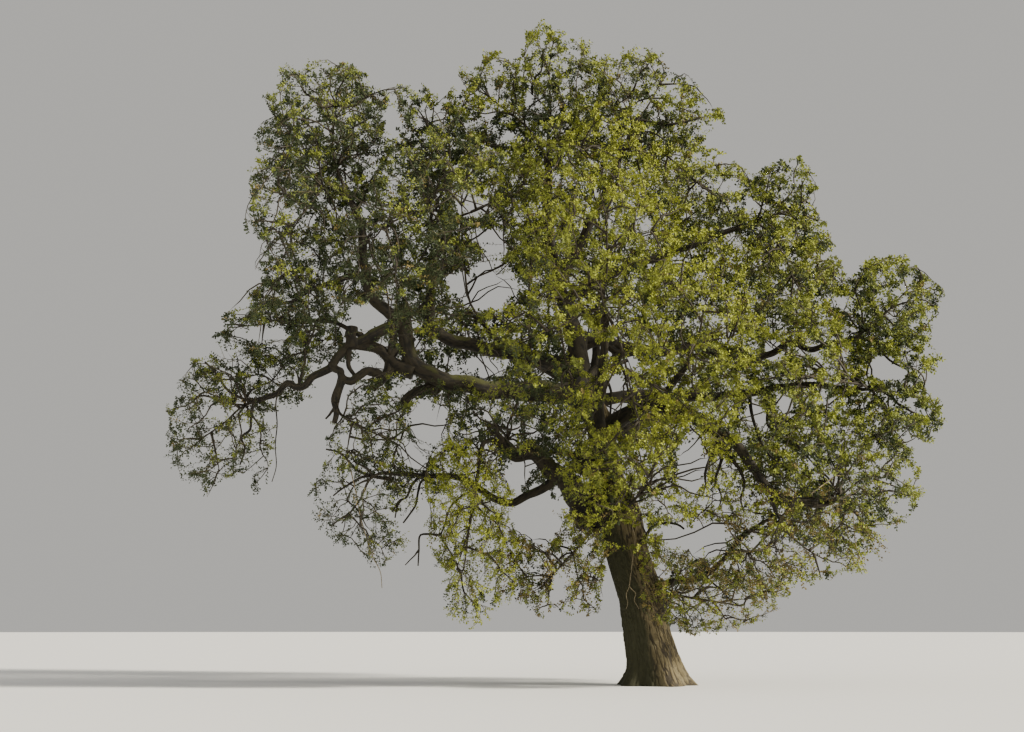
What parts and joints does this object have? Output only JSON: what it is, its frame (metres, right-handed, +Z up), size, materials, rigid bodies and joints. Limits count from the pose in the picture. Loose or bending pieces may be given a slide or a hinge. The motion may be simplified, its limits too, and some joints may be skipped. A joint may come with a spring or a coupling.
{
  "type": "oak tree",
  "caption": "Old valley oak in spring leaf: leaning trunk with a root flare, crooked boughs and a broad open crown of leafy masses.",
  "frame": {"origin": "middle of the flat cut under the trunk, at ground level", "axes": "+Z up; the crown's broad side faces -Y, and its long boughs reach along -X"},
  "size_m": [23.6741, 16.784, 20.9278],
  "materials": {
    "trunk_bark": "rough",
    "bough_bark": "rough",
    "leaves_bright": "satin",
    "leaves_olive": "satin",
    "leaves_shade": "satin",
    "leaves_brown": "satin"
  },
  "bodies": {
    "root": {"back_bough": "bough_bark", "back_left_leaves": "leaves_shade", "back_left_limb": "bough_bark", "back_low_leaves": "leaves_shade", "back_low_right_leaves": "leaves_olive", "back_middle_leaves": "leaves_shade", "back_right_leaves": "leaves_olive", "back_right_limb": "bough_bark", "back_top_leaves": "leaves_olive", "back_upper_left_leaves": "leaves_olive", "centre_front_leaves": "leaves_bright", "centre_right_leaves": "leaves_bright", "far_left_leaves": "leaves_shade", "far_left_limb": "bough_bark", "far_right_leaves": "leaves_bright", "far_right_upper_leaves": "leaves_bright", "fork_hanging_leaves": "leaves_brown", "front_bough": "bough_bark", "front_heart_leaves": "leaves_bright", "front_left_leaves": "leaves_olive", "front_low_leaves": "leaves_bright", "front_right_limb": "bough_bark", "leader": "bough_bark", "left_column_limb": "bough_bark", "left_front_leaves": "leaves_olive", "left_great_bough": "bough_bark", "left_hanging_leaves": "leaves_bright", "left_inner_leaves": "leaves_shade", "left_lobe_leaves": "leaves_olive", "left_lobe_limb": "bough_bark", "left_middle_leaves": "leaves_bright", "left_rising_limb": "bough_bark", "left_shelf_leaves": "leaves_olive", "left_side_leaves": "leaves_olive", "left_spire_leaves": "leaves_olive", "loop_limb": "bough_bark", "low_left_bough": "bough_bark", "low_left_leaves": "leaves_shade", "low_right_bough": "bough_bark", "low_right_leaves": "leaves_brown", "lower_left_bough": "bough_bark", "right_front_leaves": "leaves_bright", "right_heavy_bough": "bough_bark", "right_inner_leaves": "leaves_olive", "right_lower_leaves": "leaves_olive", "right_mid_bough": "bough_bark", "right_shoulder_leaves": "leaves_bright", "right_shoulder_limb": "bough_bark", "right_skirt_leaves": "leaves_brown", "right_upper_bough": "bough_bark", "top_leaves": "leaves_bright", "top_left_leaves": "leaves_olive", "top_right_leaves": "leaves_bright", "top_shoulder_leaves": "leaves_olive", "trunk": "trunk_bark", "under_bough_leaves": "leaves_shade", "upper_front_leaves": "leaves_bright", "upper_left_bough": "bough_bark", "upper_right_leaves": "leaves_bright", "upper_right_limb": "bough_bark"}
  },
  "joints": []
}
